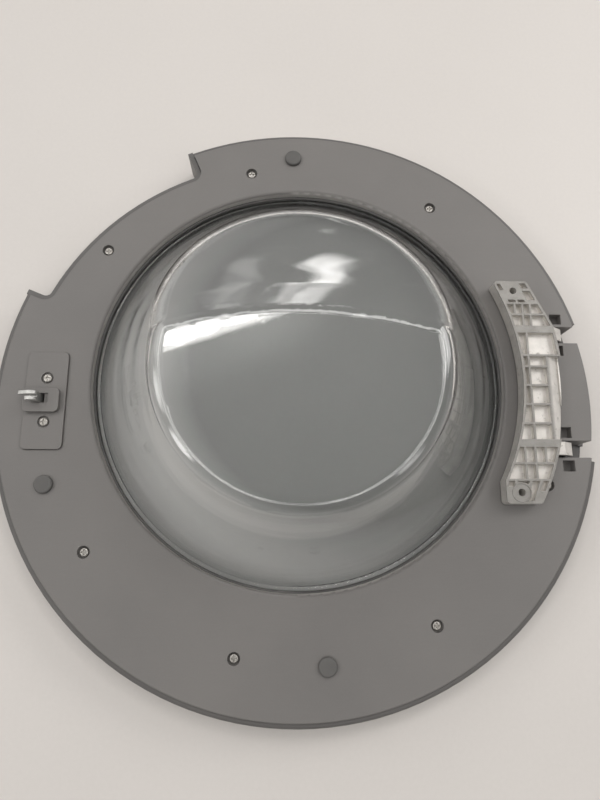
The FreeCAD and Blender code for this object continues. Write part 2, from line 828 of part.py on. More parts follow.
def make_hinge_bracket():
    body = new_body("hinge_bracket")
    floor = bracket_top - d.rib_height
    top, bottom = bracket_top_y, bracket_bottom_y
    wall, half_rib = d.bracket_wall, d.rib_width / 2
    pad(body, bracket_level, bracket_top, [[
        (foot_x, bottom),
        (on_circle(bracket_outer_radius, bottom), bottom),
        bracket_shoulder + (bracket_outer_radius, True),
        bracket_tip,
        (on_circle(bracket_inner_radius, top), top),
        (foot_x, bracket_foot_y, bracket_inner_radius, False),
    ]])
    round_edges(body, d.bracket_corner, lambda edge: edge.BoundBox.ZLength > 1 and
                (abs(edge.BoundBox.YMin - top.value) < 0.01 or abs(edge.BoundBox.YMin - bottom.value) < 0.01))

    # smooth bulging panel along the outer side, with a low lip on its edge
    shelf = upper_band[0] - d.shelf_height
    panel_end = bracket_outer_radius - d.panel_lip
    panel_level = bracket_top - d.panel_drop
    lip_level = panel_level + d.panel_lip_height
    pocket_along_y(body, lower_band[1], shelf - d.rib_width, [[
        (panel_x, bracket_top + BEYOND), (panel_x, bracket_top),
        (panel_end, panel_level, d.panel_bend, False), (panel_end, lip_level),
        (panel_end + BEYOND, lip_level), (panel_end + BEYOND, bracket_top + BEYOND)]])

    # rows of pockets above the upper band, between the bands, and below the lower band
    upper_x = bracket_inner_radius + bracket_width * d.upper_rib_share
    lower_x = bracket_inner_radius + bracket_width * d.lower_rib_share
    upper_places = [upper_x + d.upper_rib_pitch * step for step in LONG_RIB_STEPS]
    lower_places = [lower_x + d.lower_rib_pitch * step for step in LONG_RIB_STEPS]
    column = [bracket_inner_radius + bracket_width * d.column_share]
    upper_rib = upper_band[1] + d.upper_pitch
    upper_end = upper_rib + d.upper_pitch
    lower_rib = lower_band[0] - d.lower_pitch
    lower_end = lower_rib - d.lower_pitch
    middle_ribs = [shelf - d.middle_first_pitch - d.middle_pitch * step for step in range(MIDDLE_RIBS)]
    pockets = ribbed_row(upper_left, upper_right, upper_places, upper_band[1], upper_rib - half_rib)
    pockets += ribbed_row(upper_left, upper_right, upper_places, upper_rib + half_rib, upper_end - half_rib)
    pockets += end_pockets(upper_left, upper_right, upper_end + half_rib, top - wall, UPPER_END_POCKETS)
    pocket(body, floor, bracket_top, pockets)
    pockets = ribbed_row(upper_left, lower_right, column, shelf, upper_band[0])
    tops = [shelf - d.rib_width] + [y - half_rib for y in middle_ribs]
    feet = [y + half_rib for y in middle_ribs] + [lower_band[1]]
    for low, high in zip(feet, tops):
        pockets += ribbed_row(upper_left, middle_right, column, low, high)
    pocket(body, floor, bracket_top, pockets)
    pockets = ribbed_row(lower_left, lower_right, lower_places, lower_rib + half_rib, lower_band[0])
    pockets += ribbed_row(lower_left, lower_right, lower_places, lower_end + half_rib, lower_rib - half_rib)
    pockets += end_pockets(lower_left, lower_right, bottom + wall, lower_end - half_rib, LOWER_END_POCKETS)
    pocket(body, floor, bracket_top, pockets)

    # arms that bend down to the two knuckles
    half = d.knuckle_width / 2
    side = d.knuckle_radius
    out, up = side * sine(d.arm_slant), side * cosine(d.arm_slant)
    for y in knuckle_spots.values():
        pad_along_y(body, y - half, y + half, [[
            (panel_x, bracket_level), (hinge_x - side, bracket_level), (hinge_x - side, hinge_level),
            (hinge_x, hinge_level), (hinge_x + out, hinge_level + up),
            (hinge_x - out, bracket_level + d.arm_thickness),
            (panel_x, bracket_level + d.arm_thickness)]])
        pad_along_y(body, y - half, y + half, circles=[(hinge_x, hinge_level, side)])
    pocket_along_y(body, bay_bottom, bay_top, circles=[(hinge_x, hinge_level, bush_radius)])

    # bolt holes
    upper_bolt_y = top - d.bolt_end_inset
    bolts = [(on_circle(bracket_inner_radius, upper_bolt_y) + d.bolt_upper_inset, upper_bolt_y),
             (foot_x + d.bolt_lower_inset, bottom + d.bolt_end_inset)]
    pocket(body, bracket_level, bracket_top, circles=[spot + (d.bolt_radius,) for spot in bolts])
    return body


# Latch: a plate in a shallow seat, the sprung hook, its pin and its spring
def latch_outline(fit):
    half_width, half_length = d.latch_width / 2 + fit, d.latch_length / 2 + fit
    return rounded_rectangle(latch_x - half_width, latch_x + half_width,
                             d.latch_y - half_length, d.latch_y + half_length, d.latch_corner + fit)


ear_near = hook_y + d.hook_thickness / 2 + d.latch_fit
ear_far = hook_y - d.hook_thickness / 2 - d.spring_room
ear_half = d.hook_hub_radius


def latch_aperture():
    """Hole in the back frame that the latch plate's ears and the hook pass through."""
    room = ear_half + d.hook_width / 2
    margin = d.ear_wall + d.latch_fit * 2
    return rectangle(hook_x - room, hook_x + room, ear_far - margin, ear_near + margin)


def make_latch_plate():
    body = new_body("latch_plate")
    half_width, half_block = d.latch_width / 2, d.latch_block_length / 2
    block_y = hook_y - d.latch_block_shift
    pad(body, latch_level, latch_top, [latch_outline(as_size(0))])
    pad(body, latch_level, block_level, [rounded_rectangle(
        latch_x - half_width, latch_x + half_width - d.latch_block_inset, block_y - half_block,
        block_y + half_block, d.latch_corner)])
    ear_bottom = hook_level - d.hook_pin_radius - d.ear_wall
    pad(body, ear_bottom, latch_level, [
        rectangle(hook_x - ear_half, hook_x + ear_half, ear_near, ear_near + d.ear_wall),
        rectangle(hook_x - ear_half, hook_x + ear_half, ear_far - d.ear_wall, ear_far)])
    half_hook, half_slot = d.hook_width / 2 + d.latch_fit, d.hook_thickness / 2 + d.latch_fit
    swing_room = (block_level - hook_level) * sine(d.hook_swing) / cosine(d.hook_swing)
    slot_end = hook_x + half_hook + swing_room
    low, high = hook_y - half_slot, hook_y + half_slot
    pocket(body, latch_level, block_level, [rectangle(hook_x - half_hook, slot_end, low, high)])
    pocket(body, block_level - d.hook_slot_depth, block_level,
           [rectangle(slot_end - d.latch_fit, slot_end + d.hook_slot_room, low, high)])
    pocket_along_y(body, ear_far - d.ear_wall, ear_near + d.ear_wall,
                   circles=[(hook_x, hook_level, d.hook_pin_radius)])
    hole = d.screw_shank_radius + d.screw_clearance
    pocket(body, latch_level, latch_seat_level, circles=[spot + (hole,) for spot in latch_screw_spots])
    pocket(body, latch_seat_level, latch_top,
           circles=[spot + (d.recess_radius,) for spot in latch_screw_spots])
    return body


def make_latch_hook():
    body = new_body("latch_hook")
    low, high = hook_y - d.hook_thickness / 2, hook_y + d.hook_thickness / 2
    left, right = hook_x - d.hook_width / 2, hook_x + d.hook_width / 2
    top = back_level + d.hook_rise
    tip = left - d.hook_reach
    crown = d.hook_width / 2
    pad_along_y(body, low, high, circles=[(hook_x, hook_level, d.hook_hub_radius)])
    pad_along_y(body, low, high, [[
        (left, hook_level), (right, hook_level), (right, top - crown), (right - crown, top, crown, True),
        (left, top), (tip, top - d.hook_nose + d.hook_blunt), (tip, top - d.hook_nose),
        (left, top - d.hook_nose)]])
    pocket_along_y(body, low, high, circles=[(hook_x, hook_level, d.hook_pin_radius + d.running_fit)])

    # the head is forked, and its upper prong is the longer
    half = d.hook_fork / 2
    pocket(body, top - d.hook_nose, top, [[
        (tip, low), (tip + d.hook_step, low), (tip + d.hook_step, hook_y - half), (right, hook_y - half),
        (right, hook_y + half), (tip, hook_y + half)]])
    return body


def make_hook_spring():
    """Torsion coil on the hook's pin, with one leg under the plate and one beside the hook."""
    upright = Rotation(Vector(1, 0, 0), -90)
    start = ear_far + d.spring_wire * 2
    length = d.spring_room - d.spring_wire * 4
    end_angle = d.spring_turns * 360
    coil = doc.addObject("Part::Helix", "spring_coil")
    bind(coil, "Radius", d.spring_radius)
    bind(coil, "Pitch", length / d.spring_turns)
    bind(coil, "Height", length)
    ring = doc.addObject("Part::RegularPolygon", "spring_section")
    ring.Polygon = WIRE_SIDES
    bind(ring, "Circumradius", d.spring_wire)
    place(ring, d.spring_radius, 0, 0, Rotation(Vector(1, 0, 0), 90))
    sweep = doc.addObject("Part::Sweep", "spring_sweep")
    sweep.Sections = [ring]
    sweep.Spine = (coil, ["Edge1"])
    sweep.Solid = True
    sweep.Frenet = True
    legs = []
    for name, angle, z in (("fixed", as_size(0), as_size(0)), ("free", end_angle, length)):
        leg = doc.addObject("Part::Cylinder", "spring_leg_" + name)
        bind(leg, "Radius", d.spring_wire)
        bind(leg, "Height", latch_level - hook_level)
        place(leg, d.spring_radius * cosine(angle), d.spring_radius * sine(angle), z,
              Rotation(Vector(1, 0, 0), 90))
        legs.append(leg)
    spring = doc.addObject("Part::MultiFuse", "hook_spring")
    spring.Label = "hook_spring"
    spring.Shapes = [sweep] + legs
    place(spring, hook_x, start, hook_level, upright)
    return spring


# Screws and bumpers
def make_screws(label, spots, seat, length):
    """A group of like screws with cross drives, each with its head on the seat."""
    form = new_body(label + "_form")
    head, shank, tall = d.screw_head_radius, d.screw_shank_radius, d.screw_head_height
    soft = tall / 2
    revolve(form, [(0, -length), (shank, -length + shank), (shank, 0), (head, 0), (head, tall - soft),
                   (head - soft, tall, soft, True), (0, tall)])
    wide, long = d.drive_width / 2, d.drive_reach
    pocket(form, tall - d.drive_depth, tall, [[
        (-long, -wide), (-wide, -wide), (-wide, -long), (wide, -long), (wide, -wide), (long, -wide),
        (long, wide), (wide, wide), (wide, long), (-wide, long), (-wide, wide), (-long, wide)]])
    copies = []
    for x, y in spots:
        copy = doc.addObject("App::Link", label + "_copy")
        copy.LinkedObject = form
        copy.LinkTransform = False
        place(copy, x, y, seat)
        copies.append(copy)
    group = doc.addObject("Part::Compound", label)
    group.Label = label
    group.Links = copies
    return group


def make_bumper(label, x, y):
    body = new_body(label)
    stem, barb, rise = d.bumper_stem_radius, d.bumper_barb, d.bumper_rise
    crown = rise / 2
    under = plate_level - back_level
    revolve(body, [
        (0, under - barb * 3), (stem - barb, under - barb * 3), (stem + barb, under - barb), (stem, under),
        (stem, 0), (d.bumper_radius, 0), (d.bumper_radius, rise - crown),
        (d.bumper_radius - crown, rise, crown, True), (0, rise)])
    place(body, x, y, back_level)
    return body


nodes = [
    make_outer_frame(),
    make_inner_frame(),
    make_front_window(),
    make_glass_gasket(),
    make_glass_bowl(),
    make_hinge_cover(),
    make_hinge_bracket(),
    make_hinge_pin("upper", cover_top, bay_top),
    make_hinge_pin("lower", bay_bottom, cover_bottom),
    make_hinge_bush("upper", d.knuckle_upper_y),
    make_hinge_bush("lower", d.knuckle_lower_y),
    make_latch_plate(),
    make_latch_hook(),
    make_pin("hook_pin", d.hook_pin_radius, ear_far - d.ear_wall, ear_near + d.ear_wall,
             hook_x, hook_level),
    make_hook_spring(),
    make_screws("frame_screws", screw_spots, recess_level, d.screw_length),
    make_screws("latch_screws", latch_screw_spots, latch_seat_level, d.latch_screw_length),
]
nodes += [make_bumper(label, x, y) for label, (x, y) in bumper_spots.items()]
doc.recompute()

for item in doc.Objects:
    if "Invalid" in item.State or "Error" in item.State:
        raise RuntimeError("%s did not recompute" % item.Label)
for node in nodes:
    if node.Shape.isNull() or not node.Shape.isValid():
        raise RuntimeError("%s has no valid shape" % node.Label)

os.makedirs("parts", exist_ok=True)
for node in nodes:
    node.Shape.exportStep("parts/%s.step" % node.Label)
    print("%-18s %d solids  %.1f mm3" % (node.Label, len(node.Shape.Solids), node.Shape.Volume))
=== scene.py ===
import math

import bmesh
import bpy
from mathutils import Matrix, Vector


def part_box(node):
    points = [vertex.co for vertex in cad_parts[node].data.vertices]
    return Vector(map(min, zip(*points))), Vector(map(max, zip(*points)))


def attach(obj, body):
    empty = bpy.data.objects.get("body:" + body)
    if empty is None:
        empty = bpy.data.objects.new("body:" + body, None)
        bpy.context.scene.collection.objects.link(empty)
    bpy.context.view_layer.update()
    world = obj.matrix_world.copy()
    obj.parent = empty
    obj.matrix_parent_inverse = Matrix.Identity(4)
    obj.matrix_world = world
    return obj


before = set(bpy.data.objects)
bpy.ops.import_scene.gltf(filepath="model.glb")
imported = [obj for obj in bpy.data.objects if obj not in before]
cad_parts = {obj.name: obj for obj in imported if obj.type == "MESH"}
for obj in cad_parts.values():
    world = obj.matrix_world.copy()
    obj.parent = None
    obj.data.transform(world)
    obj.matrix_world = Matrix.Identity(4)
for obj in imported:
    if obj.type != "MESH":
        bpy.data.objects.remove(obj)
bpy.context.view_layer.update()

# Camera over the door, a little towards its bottom edge
CAMERA_PLACE = (-0.01665, -0.1036, 0.4964)
CAMERA_TURN = (0.219559, -0.035660, 0.0)
CAMERA_LENS = 27.0
SENSOR_WIDTH = 36.0

# Colours of the finishes, in linear values
RING_GREY = (0.186, 0.176, 0.168)
RING_GREY_DARK = (0.162, 0.154, 0.148)
LIP_PAINTED_LIGHT = (0.44, 0.42, 0.40)
RIM_GREY = (0.122, 0.116, 0.111)
RIM_GREY_DARK = (0.102, 0.097, 0.093)
RUBBER_BLACK = (0.075, 0.073, 0.070)
RUBBER_BLACK_DUSTY = (0.115, 0.112, 0.108)
BUMPER_GREY = (0.098, 0.095, 0.091)
BUMPER_GREY_DUSTY = (0.122, 0.118, 0.113)
CAST_PALE = (0.73, 0.702, 0.664)
CAST_PALE_SHADE = (0.60, 0.577, 0.546)
CAST_TOP = (0.31, 0.298, 0.28)
CAST_TOP_SHADE = (0.25, 0.24, 0.225)
CAST_DIRT = (0.10, 0.088, 0.075)
ZINC_PALE = (0.50, 0.48, 0.45)
ZINC_DULL = (0.40, 0.38, 0.35)
HOOK_BRIGHT = (0.58, 0.575, 0.56)
HOOK_DULL = (0.38, 0.375, 0.36)
PIN_DARK = (0.11, 0.11, 0.11)
PIN_WORN = (0.24, 0.235, 0.23)
SPRING_STEEL = (0.42, 0.42, 0.42)
SPRING_SHADE = (0.28, 0.28, 0.28)
BUSH_BLACK = (0.03, 0.03, 0.03)
BUSH_WORN = (0.06, 0.06, 0.06)
GLASS_CLEAR = (0.955, 0.962, 0.957)
WINDOW_SMOKE = (0.36, 0.36, 0.352)
WINDOW_SMOKE_DARK = (0.325, 0.325, 0.318)
WINDOW_BORDER_PAINTED_LIGHT = (0.90, 0.89, 0.87)
TABLE_CREAM = (0.675, 0.64, 0.61)
TABLE_CREAM_SHADE = (0.64, 0.607, 0.578)
ROOM_LIGHT = (1.0, 0.985, 0.965)
# What the camera sees beyond the edge of the table
BACKDROP_PALE = (0.72, 0.70, 0.67)

# Painted light: the lip round the opening is painted paler inside, below its rounded edge, between
# two levels, where the glass bowl shades it
OPENING_MIDDLE_Y = 0.0175
LIP_REACH = 0.1700
LIP_TOP_LEVEL = 0.0310
LIP_WALL_LEVEL = 0.0294

# Levels of the bracket between which the pale pocket floors give way to the duller rib tops
RIB_SIDE_LEVEL = 0.0440
RIB_TOP_LEVEL = 0.0453

# Painted light: the window's upper face is painted paler towards its border, most at the lower left,
# where the glass bowl shades it;
# between two distances from a point to the upper right of its middle
BORDER_MIDDLE_X = 0.040
BORDER_MIDDLE_Y = 0.040
BORDER_START = 0.132
BORDER_END = 0.178
WINDOW_MIDDLE_LEVEL = 0.0048
WINDOW_TOP_LEVEL = 0.0060

# Index of refraction and clear gloss of the glass
GLASS_INDEX = 1.52
GLASS_COAT = 0.7
# Waves of the glass: long on the scoop, short on the flat end next to the ridge, rings on the wall
GLASS_WAVE_DEPTH = 0.0026
SCOOP_START_Y = 0.056
SCOOP_FULL_Y = 0.076
SCOOP_STRETCH = (0.55, 1.0, 1.0)
SCOOP_WAVE_SCALE = 21.0
SCOOP_WAVES = 0.5
FLAT_WAVES = 0.09
RIDGE_START_Y = 0.012
RIDGE_FULL_Y = 0.045
RIDGE_WAVE_SCALE = 58.0
RIDGE_WAVES = 0.09
WALL_TOP_LEVEL = 0.084
WALL_FULL_LEVEL = 0.072
WALL_STRETCH = (0.12, 0.12, 1.0)
WALL_WAVE_SCALE = 60.0
WALL_WAVES = 0.22

# Raised rim round the lower bolt hole of the bracket, placed from the corner of the bracket's box
BOLT_FROM_SIDE = 0.01165
BOLT_FROM_END = 0.0084
BOSS_RADIUS = 0.0070
BOSS_RIM = 0.0006
BOSS_RISE = 0.0005
RIM_STEPS = 72
RIM_CORNERS = 10

# Table under the door
TABLE_HALF = 4.0
TABLE_LEVEL = -0.0003

# Brightness of the room by height, from the horizon to straight up
ROOM_LEVELS = ((0.02, 0.47), (0.08, 0.78), (0.18, 0.78), (0.26, 0.25), (0.76, 0.25), (0.93, 0.36),
               (0.98, 0.38))
# How much more light comes from the far side, and how much less from the near side
ROOM_FAR_GAIN = 0.72
# Lit cove round the ceiling, between two heights, which ends before the near side
COVE_LOW = 0.815
COVE_HIGH = 0.850
COVE_SOFT = 0.012
COVE_LEVEL = 5.0
COVE_NEAR_DARK = -0.553
COVE_NEAR_LIT = -0.543
# Soft panes on the far side that the scoop mirrors: middle, half width, lean and level of each
PANE_LOW = 0.375
PANE_HIGH = 0.415
PANE_SOFT = 0.05
PANE_FAR_DARK = 0.3
PANE_FAR_LIT = 0.5
PANES = ((-0.17, 0.030, 1.2, 1.0), (0.060, 0.022, 1.6, 6.5))
# Small lights, two at the left and one at the right, that glint on the rounded edge of the glass:
# direction and level of each
GLINTS = (((-0.74, -0.30, 0.60), 7.0), ((-0.79, 0.08, 0.60), 5.0), ((0.70, -0.38, 0.60), 3.0))
GLINT_EDGE = 0.988
GLINT_FULL = 0.997
# Lamps that face the door: name, place, width, height and power
LAMPS = (
    ("lamp_right", (1.20, 0.75, 1.10), 0.8, 0.6, 6.6),
    ("lamp_left", (-1.15, 0.80, 1.20), 0.8, 0.6, 2.6),
    ("lamp_overhead", (-0.25, 0.72, 2.0), 0.8, 0.07, 2.1),
)


# Effects that several finishes share
def new_group(name, inputs, outputs):
    """An empty shader group with named sockets. Each input is (name, socket type, value)."""
    group = bpy.data.node_groups.new(name, "ShaderNodeTree")
    for socket_name, socket_type, value in inputs:
        socket = group.interface.new_socket(socket_name, in_out="INPUT", socket_type=socket_type)
        socket.default_value = value
    for socket_name, socket_type in outputs:
        group.interface.new_socket(socket_name, in_out="OUTPUT", socket_type=socket_type)
    start = group.nodes.new("NodeGroupInput")
    end = group.nodes.new("NodeGroupOutput")
    return group, start, end


def add_math(tree, operation, *values, clamp=False):
    """A calculation on one to three values, each a number or a socket."""
    node = tree.nodes.new("ShaderNodeMath")
    node.operation = operation
    node.use_clamp = clamp
    for socket, value in zip(node.inputs, values):
        if isinstance(value, (int, float)):
            socket.default_value = value
        else:
            tree.links.new(value, socket)
    return node.outputs[0]


def add_noise(tree, scale, detail, rough=0.5, vector=None):
    """Noise in the door's own frame. Scale is a number or a socket."""
    node = tree.nodes.new("ShaderNodeTexNoise")
    if vector is None:
        vector = tree.nodes.new("ShaderNodeTexCoord").outputs["Object"]
    tree.links.new(vector, node.inputs["Vector"])
    if isinstance(scale, (int, float)):
        node.inputs["Scale"].default_value = scale
    else:
        tree.links.new(scale, node.inputs["Scale"])
    node.inputs["Detail"].default_value = detail
    node.inputs["Roughness"].default_value = rough
    return node.outputs["Fac"]


def add_stretched_noise(tree, scale, stretch):
    """Noise drawn out along the axes whose stretch is small."""
    mapping = tree.nodes.new("ShaderNodeMapping")
    mapping.inputs["Scale"].default_value = stretch
    place = tree.nodes.new("ShaderNodeTexCoord")
    tree.links.new(place.outputs["Object"], mapping.inputs["Vector"])
    return add_noise(tree, scale, detail=1.2, rough=0.35, vector=mapping.outputs["Vector"])


def add_mix(tree, factor, first, second):
    """Mixes two colours, each a colour or a socket."""
    node = tree.nodes.new("ShaderNodeMix")
    node.data_type = "RGBA"
    factor_in, first_in, second_in = node.inputs[0], node.inputs[6], node.inputs[7]
    tree.links.new(factor, factor_in)
    for socket, value in ((first_in, first), (second_in, second)):
        if isinstance(value, tuple):
            socket.default_value = value + (1.0,)
        else:
            tree.links.new(value, socket)
    return node.outputs[2]


def make_mottle():
    """Large soft patches and small specks between two shades of one colour."""
    group, start, end = new_group(
        "mottle",
        [("Shade A", "NodeSocketColor", (0.2, 0.2, 0.2, 1.0)),
         ("Shade B", "NodeSocketColor", (0.1, 0.1, 0.1, 1.0)),
         ("Patch Scale", "NodeSocketFloat", 14.0),
         ("Speck Scale", "NodeSocketFloat", 900.0)],
        [("Color", "NodeSocketColor"), ("Mask", "NodeSocketFloat")])
    patch_gain, patch_shift = 2.4, -0.95
    speck_gain, speck_shift = 0.9, -0.20
    patches = add_noise(group, start.outputs["Patch Scale"], detail=4.0, rough=0.55)
    specks = add_noise(group, start.outputs["Speck Scale"], detail=2.0, rough=0.6)
    spread = add_math(group, "MULTIPLY_ADD", patches, patch_gain, patch_shift)
    fine = add_math(group, "MULTIPLY_ADD", specks, speck_gain, speck_shift)
    mask = add_math(group, "ADD", spread, fine, clamp=True)
    colour = add_mix(group, mask, start.outputs["Shade A"], start.outputs["Shade B"])
    group.links.new(colour, end.inputs["Color"])
    group.links.new(mask, end.inputs["Mask"])
    return group


def make_worn_edge():
    """Softens sharp edges and marks where they are, so that handling can lighten them."""
    group, start, end = new_group(
        "worn_edge",
        [("Radius", "NodeSocketFloat", 0.0008), ("Breakup Scale", "NodeSocketFloat", 90.0)],
        [("Mask", "NodeSocketFloat"), ("Normal", "NodeSocketVector")])
    edge_gain = 6.0
    bevel = group.nodes.new("ShaderNodeBevel")
    bevel.samples = 4
    group.links.new(start.outputs["Radius"], bevel.inputs["Radius"])
    geometry = group.nodes.new("ShaderNodeNewGeometry")
    dot = group.nodes.new("ShaderNodeVectorMath")
    dot.operation = "DOT_PRODUCT"
    group.links.new(bevel.outputs["Normal"], dot.inputs[0])
    group.links.new(geometry.outputs["Normal"], dot.inputs[1])
    away = add_math(group, "SUBTRACT", 1.0, dot.outputs["Value"])
    sharp = add_math(group, "MULTIPLY", away, edge_gain, clamp=True)
    breakup = add_noise(group, start.outputs["Breakup Scale"], detail=3.0, rough=0.6)
    broken = add_math(group, "MULTIPLY", sharp, breakup, clamp=True)
    group.links.new(broken, end.inputs["Mask"])
    group.links.new(bevel.outputs["Normal"], end.inputs["Normal"])
    return group


def make_handling():
    """Faint smears and hairline scratches, as masks."""
    group, start, end = new_group(
        "handling",
        [("Smear Scale", "NodeSocketFloat", 22.0), ("Scratch Scale", "NodeSocketFloat", 60.0)],
        [("Smears", "NodeSocketFloat"), ("Scratches", "NodeSocketFloat")])
    smear_gain, smear_shift = 2.2, -0.75
    scratch_turns = (0.35, 1.25, 2.4)
    scratch_stretch = (0.06, 1.0, 1.0)
    scratch_width = 0.0035
    smear = add_noise(group, start.outputs["Smear Scale"], detail=5.0, rough=0.65)
    smear_mask = add_math(group, "MULTIPLY_ADD", smear, smear_gain, smear_shift, clamp=True)
    group.links.new(smear_mask, end.inputs["Smears"])
    place = group.nodes.new("ShaderNodeTexCoord")
    lines = None
    for turn in scratch_turns:
        mapping = group.nodes.new("ShaderNodeMapping")
        mapping.inputs["Rotation"].default_value = (0.0, 0.0, turn)
        mapping.inputs["Scale"].default_value = scratch_stretch
        group.links.new(place.outputs["Object"], mapping.inputs["Vector"])
        streak = add_noise(group, start.outputs["Scratch Scale"], detail=5.0, rough=0.7,
                           vector=mapping.outputs["Vector"])
        ridge = add_math(group, "ABSOLUTE", add_math(group, "SUBTRACT", streak, 0.5))
        line = add_math(group, "LESS_THAN", ridge, scratch_width)
        lines = line if lines is None else add_math(group, "MAXIMUM", lines, line)
    group.links.new(lines, end.inputs["Scratches"])
    return group


MOTTLE = make_mottle()
WORN_EDGE = make_worn_edge()
HANDLING = make_handling()


# Helpers for the finishes
def new_finish(name):
    material = bpy.data.materials.new(name)
    material.use_nodes = True
    return material, material.node_tree, material.node_tree.nodes["Principled BSDF"]


def use_group(tree, group, **values):
    """Places an effect in a finish. Values are given by socket name, with underscores for spaces."""
    node = tree.nodes.new("ShaderNodeGroup")
    node.node_tree = group
    for key, value in values.items():
        socket = node.inputs[key.replace("_", " ")]
        socket.default_value = value + (1.0,) if isinstance(value, tuple) else value
    return node


def vary(tree, mask, low, high, target):
    """Runs a shader socket from low to high by a mask."""
    tree.links.new(add_math(tree, "MULTIPLY_ADD", mask, high - low, low), target)


def add_bump(tree, shader, height, strength, depth, normal=None):
    bump = tree.nodes.new("ShaderNodeBump")
    bump.inputs["Strength"].default_value = strength
    bump.inputs["Distance"].default_value = depth
    tree.links.new(height, bump.inputs["Height"])
    if normal is not None:
        tree.links.new(normal, bump.inputs["Normal"])
    tree.links.new(bump.outputs["Normal"], shader.inputs["Normal"])


def add_ramp(tree, value, start, end):
    """Rises from nought to one between two values of a socket."""
    ramp = tree.nodes.new("ShaderNodeMapRange")
    ramp.inputs["From Min"].default_value = start
    ramp.inputs["From Max"].default_value = end
    tree.links.new(value, ramp.inputs["Value"])
    return ramp.outputs["Result"]


def split_place(tree):
    """X, Y and Z in the door's own frame."""
    place = tree.nodes.new("ShaderNodeTexCoord")
    split = tree.nodes.new("ShaderNodeSeparateXYZ")
    tree.links.new(place.outputs["Object"], split.inputs["Vector"])
    return split.outputs


def add_distance(tree, middle_x, middle_y):
    """Distance from an upright line in the door's own frame."""
    place = split_place(tree)
    across = add_math(tree, "SUBTRACT", place["X"], middle_x)
    along = add_math(tree, "SUBTRACT", place["Y"], middle_y)
    along_square = add_math(tree, "MULTIPLY", along, along)
    return add_math(tree, "SQRT", add_math(tree, "MULTIPLY_ADD", across, across, along_square))


# Finishes of the door
def moulded_plastic(name, pale, dark, rough, edge_radius, polish, lip_painted_light=None):
    """Matte moulded skin: soft patches, fine grain, worn edges and faint scratches."""
    edge_show, scratch_show = 0.55, 0.05
    wear_gain = 1.28
    material, tree, shader = new_finish(name)
    mottle = use_group(tree, MOTTLE, Shade_A=pale, Shade_B=dark, Patch_Scale=9.0, Speck_Scale=1300.0)
    edge = use_group(tree, WORN_EDGE, Radius=edge_radius, Breakup_Scale=120.0)
    marks = use_group(tree, HANDLING, Smear_Scale=16.0, Scratch_Scale=45.0)
    lighter = tuple(min(channel * wear_gain, 1.0) for channel in pale)
    edge_wear = add_math(tree, "MULTIPLY", edge.outputs["Mask"], edge_show)
    scratch_wear = add_math(tree, "MULTIPLY", marks.outputs["Scratches"], scratch_show)
    colour = add_mix(tree, edge_wear, mottle.outputs["Color"], lighter)
    colour = add_mix(tree, scratch_wear, colour, lighter)
    # Painted light: the lip's inner wall inside the opening, below its rounded edge, is painted
    # paler
    if lip_painted_light is not None:
        inside = add_math(tree, "LESS_THAN", add_distance(tree, 0.0, OPENING_MIDDLE_Y), LIP_REACH)
        below = add_ramp(tree, split_place(tree)["Z"], LIP_TOP_LEVEL, LIP_WALL_LEVEL)
        colour = add_mix(tree, add_math(tree, "MULTIPLY", inside, below), colour, lip_painted_light)
    tree.links.new(colour, shader.inputs["Base Color"])
    vary(tree, marks.outputs["Smears"], rough, rough - polish, shader.inputs["Roughness"])
    shader.inputs["Specular IOR Level"].default_value = 0.45
    grain = add_noise(tree, scale=1600.0, detail=3.0, rough=0.6)
    add_bump(tree, shader, grain, strength=0.18, depth=0.00012, normal=edge.outputs["Normal"])
    return material


def soft_rubber(name, clean, dusty, rough):
    """Rubber with dusty patches, which are a little rougher."""
    dust_rough = 0.15
    material, tree, shader = new_finish(name)
    mottle = use_group(tree, MOTTLE, Shade_A=clean, Shade_B=dusty, Patch_Scale=60.0,
                       Speck_Scale=1800.0)
    edge = use_group(tree, WORN_EDGE, Radius=0.0006, Breakup_Scale=200.0)
    tree.links.new(mottle.outputs["Color"], shader.inputs["Base Color"])
    vary(tree, mottle.outputs["Mask"], rough, rough + dust_rough, shader.inputs["Roughness"])
    grain = add_noise(tree, scale=2200.0, detail=2.0)
    add_bump(tree, shader, grain, strength=0.15, depth=0.0001, normal=edge.outputs["Normal"])
    return material


def plated_steel(name, bright, dull, rough, metal):
    """Plated or darkened steel with dull patches and rubbed edges."""
    dull_rough = 0.18
    rub_gain, rub_lift = 1.2, 0.04
    material, tree, shader = new_finish(name)
    mottle = use_group(tree, MOTTLE, Shade_A=bright, Shade_B=dull, Patch_Scale=260.0,
                       Speck_Scale=2600.0)
    edge = use_group(tree, WORN_EDGE, Radius=0.0003, Breakup_Scale=400.0)
    lighter = tuple(min(channel * rub_gain + rub_lift, 1.0) for channel in bright)
    colour = add_mix(tree, edge.outputs["Mask"], mottle.outputs["Color"], lighter)
    tree.links.new(colour, shader.inputs["Base Color"])
    shader.inputs["Metallic"].default_value = metal
    vary(tree, mottle.outputs["Mask"], rough, rough + dull_rough, shader.inputs["Roughness"])
    grain = add_noise(tree, scale=3000.0, detail=2.0)
    add_bump(tree, shader, grain, strength=0.12, depth=0.00006, normal=edge.outputs["Normal"])
    return material


